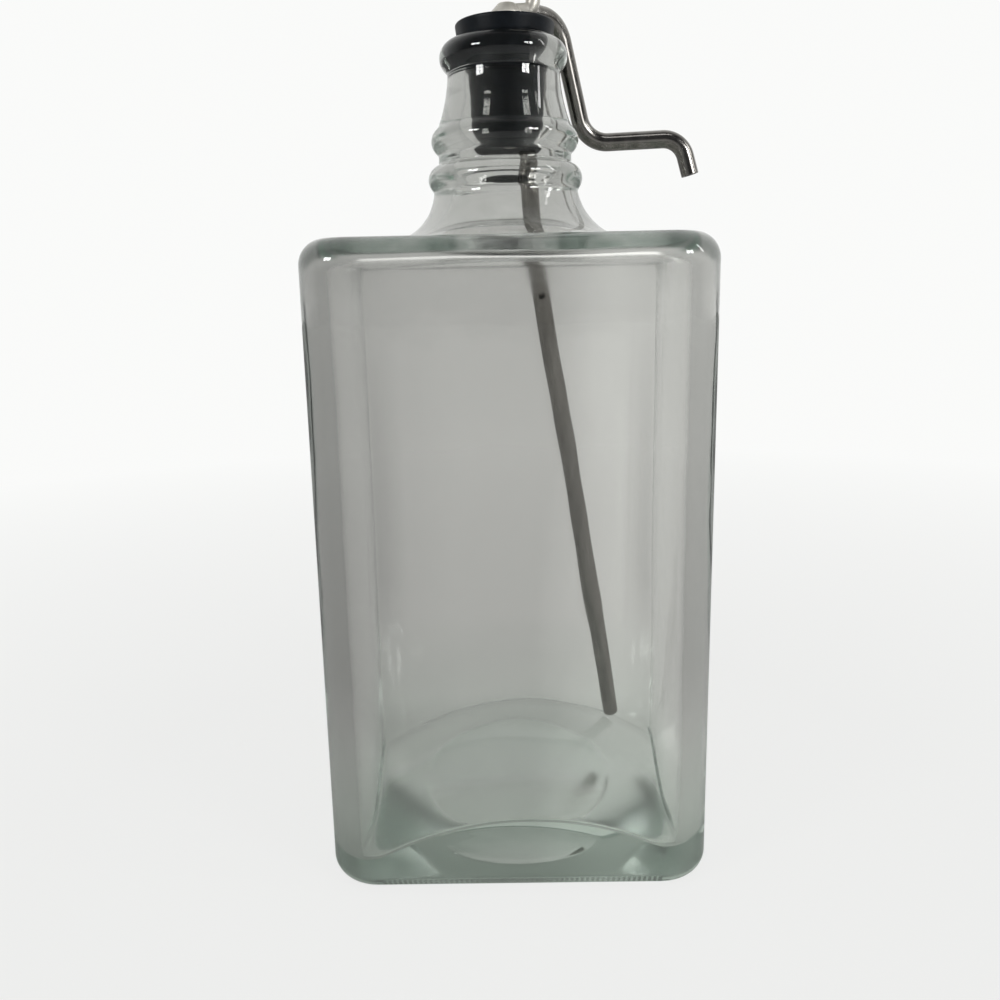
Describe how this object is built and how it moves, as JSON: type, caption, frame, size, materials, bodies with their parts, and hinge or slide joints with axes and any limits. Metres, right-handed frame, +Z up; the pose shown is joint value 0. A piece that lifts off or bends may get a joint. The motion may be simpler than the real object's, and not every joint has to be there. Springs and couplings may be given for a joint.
{
  "type": "mouthwash bottle",
  "caption": "Rectangular glass mouthwash bottle with a beaded round neck, a rubber stopper, a bent steel dip and pouring tube, and a squeeze bulb with valves.",
  "frame": {"origin": "middle of the base, on the neck's axis, on the surface the bottle stands on", "axes": "+Z up, -Y out of the front face, +X to the right, where the spout points"},
  "size_m": [0.0908, 0.076, 0.2656],
  "materials": {
    "flint_glass": "clear glass with a faint green tint, fire polished",
    "black_rubber": "moulded, dull, with a soft sheen",
    "stainless": "drawn tube, bright, with fine lines along it",
    "nickel_plate": "nickel plated, satin, a little tarnished",
    "bulb_rubber": "smooth, dull",
    "ball_steel": "polished"
  },
  "bodies": {
    "bottle": {"bottle": "flint_glass"},
    "stopper": {"stopper": "black_rubber", "liquid_tube": "stainless", "air_elbow": "nickel_plate", "outlet_valve_body": "nickel_plate", "outlet_valve_stem": "nickel_plate", "squeeze_bulb": "bulb_rubber"},
    "outlet_ball": {"outlet_ball": "ball_steel"},
    "bulb_end": {"inlet_valve_body": "nickel_plate", "inlet_valve_cap": "nickel_plate"},
    "inlet_ball": {"inlet_ball": "ball_steel"}
  },
  "joints": [
    {"name": "stopper_lift", "type": "slide", "parent": "bottle", "child": "stopper", "axis": [0, 0, 1], "range_m": [0, 0.025]},
    {"name": "bulb_press", "type": "slide", "parent": "stopper", "child": "bulb_end", "axis": [0, 0, -1], "range_m": [0, 0.012], "stiffness_N_per_m": 400, "deforming": ["squeeze_bulb"]},
    {"name": "outlet_ball_lift", "type": "slide", "parent": "stopper", "child": "outlet_ball", "axis": [0, 0, 1], "range_m": [0, 0.0012]},
    {"name": "inlet_ball_lift", "type": "slide", "parent": "bulb_end", "child": "inlet_ball", "axis": [0, 0, 1], "range_m": [0, 0.0012]}
  ]
}
